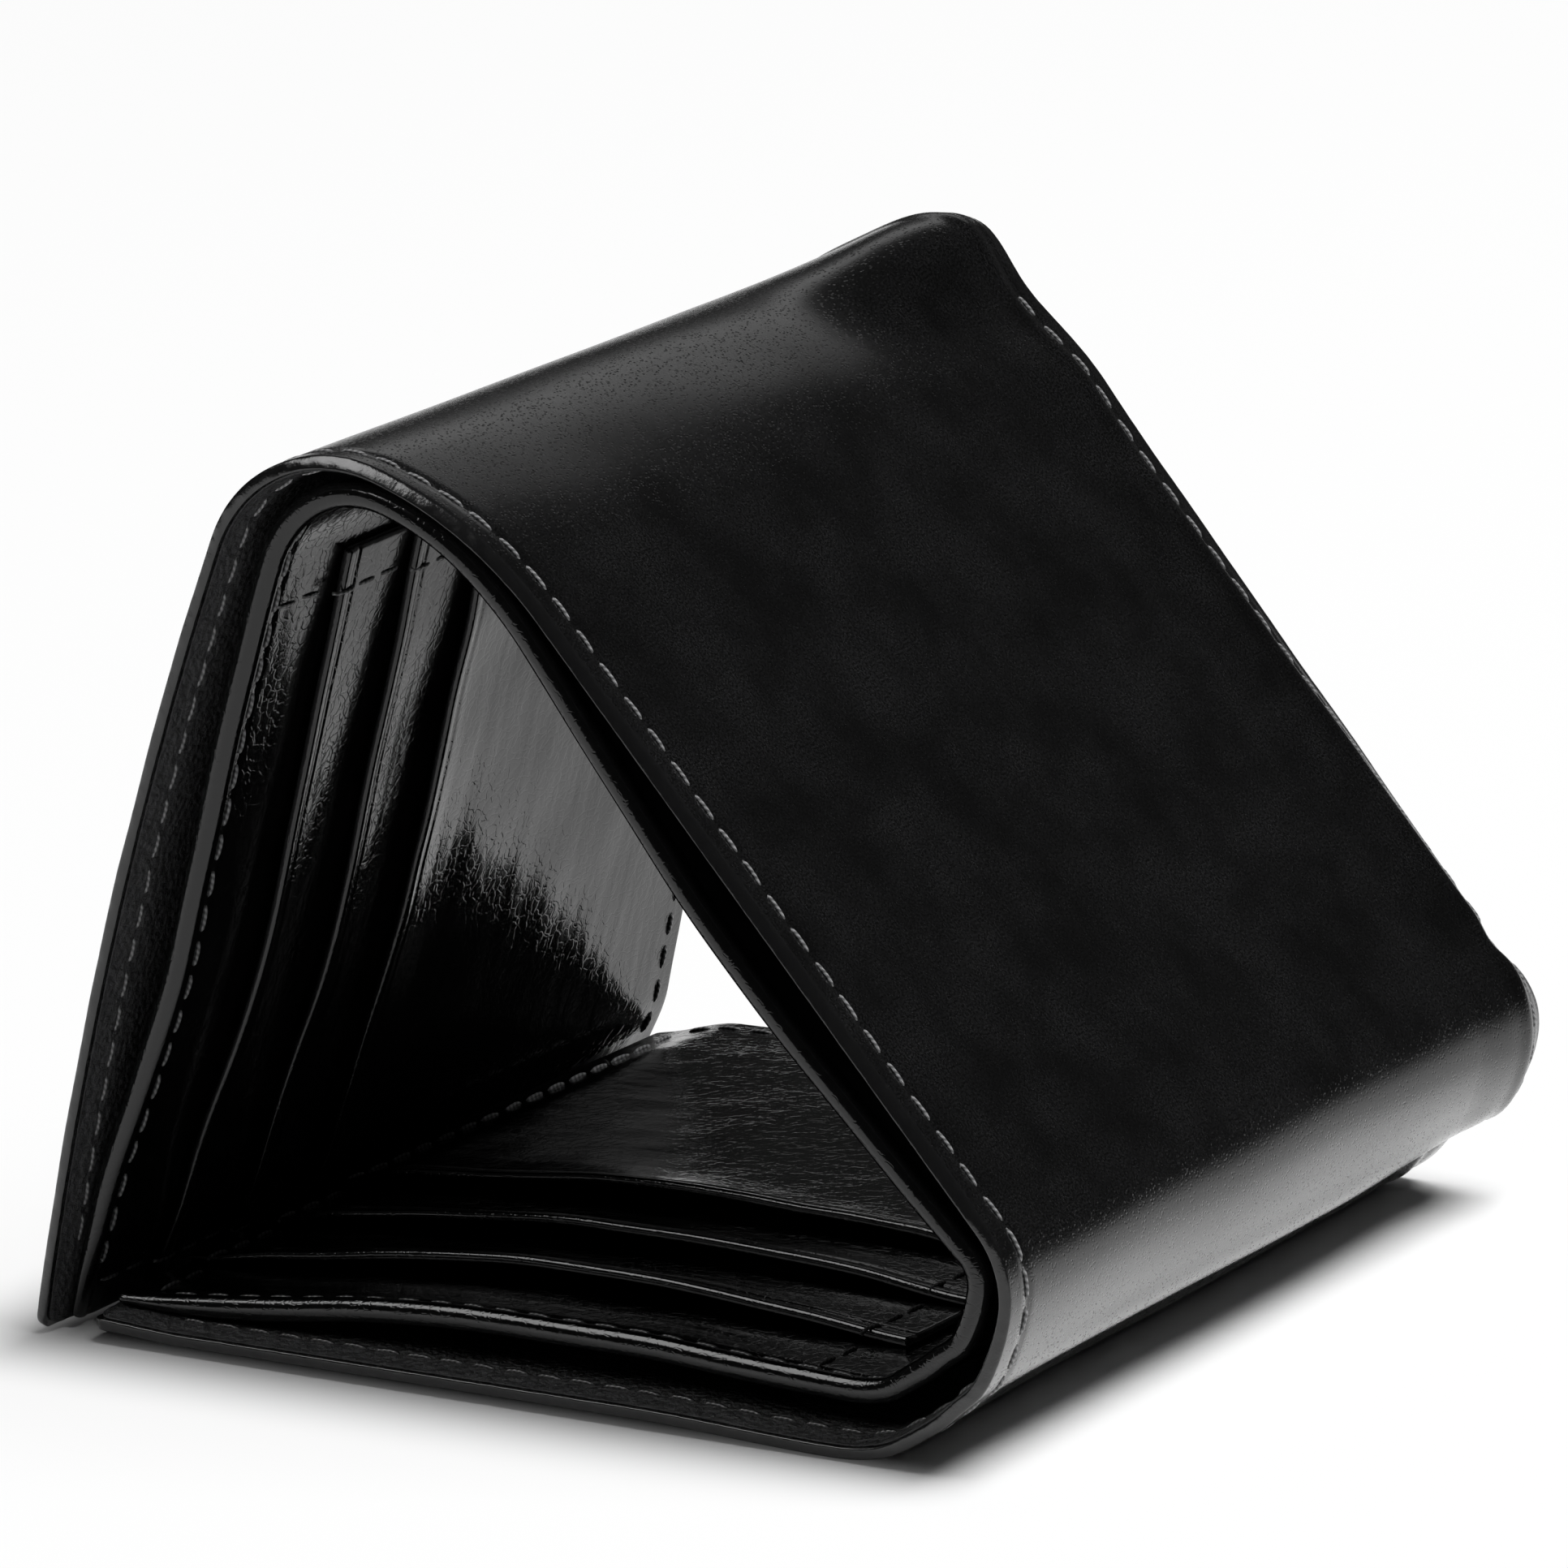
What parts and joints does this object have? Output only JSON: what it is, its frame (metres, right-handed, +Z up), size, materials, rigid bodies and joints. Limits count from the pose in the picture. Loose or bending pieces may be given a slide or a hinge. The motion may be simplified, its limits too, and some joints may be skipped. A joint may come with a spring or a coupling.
{
  "type": "trifold wallet",
  "caption": "Black leather trifold wallet standing as a tent, with a full-length bill compartment, stepped card slots on its flaps and folds that open flat.",
  "frame": {"origin": "on the table, under the centre of the box of the wallet as it stands", "axes": "+Z up; +Y from the bill opening to the closed edge; +X from the free ends of the flaps to the lower fold"},
  "size_m": [0.1211, 0.102, 0.0967],
  "materials": {
    "outer_leather": "black smooth leather with a fine grain, satin",
    "lining": "black grained lining, matt",
    "inner_leather": "black smooth leather, semi-gloss",
    "thread": "black waxed thread"
  },
  "bodies": {
    "bottom_panel": {"cover_bottom": "outer_leather", "lining_bottom": "lining", "divider_bottom": "inner_leather", "bottom_slot_1": "inner_leather", "bottom_slot_2": "inner_leather", "bottom_pocket": "inner_leather", "edge_stitches_bottom": "thread", "inner_stitches_bottom": "thread"},
    "lower_fold": {"cover_lower_fold": "outer_leather", "lining_lower_fold": "lining", "divider_lower_fold": "inner_leather", "edge_stitches_lower_fold": "thread", "inner_stitches_lower_fold": "thread"},
    "middle_panel": {"cover_middle": "outer_leather", "lining_middle": "lining", "divider_middle": "inner_leather", "edge_stitches_middle": "thread", "inner_stitches_middle": "thread"},
    "top_fold": {"cover_top_fold": "outer_leather", "lining_top_fold": "lining", "divider_top_fold": "inner_leather", "edge_stitches_top_fold": "thread", "inner_stitches_top_fold": "thread"},
    "left_panel": {"cover_left": "outer_leather", "lining_left": "lining", "divider_left": "inner_leather", "left_slot_1": "inner_leather", "left_slot_2": "inner_leather", "left_pocket": "inner_leather", "edge_stitches_left": "thread", "inner_stitches_left": "thread"}
  },
  "joints": [
    {"name": "lower_crease_1", "type": "hinge", "parent": "bottom_panel", "child": "lower_fold", "pos_m": [0.04803, 0, 0.00223], "axis": [0, 1, 0], "range_deg": [0, 52.9]},
    {"name": "lower_crease_2", "type": "hinge", "parent": "lower_fold", "child": "middle_panel", "pos_m": [0.06004, 0, 0.01922], "axis": [0, 1, 0], "range_deg": [0, 76.82]},
    {"name": "top_crease_1", "type": "hinge", "parent": "middle_panel", "child": "top_fold", "pos_m": [-0.00143, 0, 0.09186], "axis": [0, 1, 0], "range_deg": [0, 39]},
    {"name": "top_crease_2", "type": "hinge", "parent": "top_fold", "child": "left_panel", "pos_m": [-0.02367, 0, 0.09334], "axis": [0, 1, 0], "range_deg": [0, 81.82]}
  ],
  "couplings": [
    {"joint": "lower_crease_2", "follows": "lower_crease_1", "ratio": 1.4512},
    {"joint": "top_crease_2", "follows": "top_crease_1", "ratio": 2.0966}
  ]
}
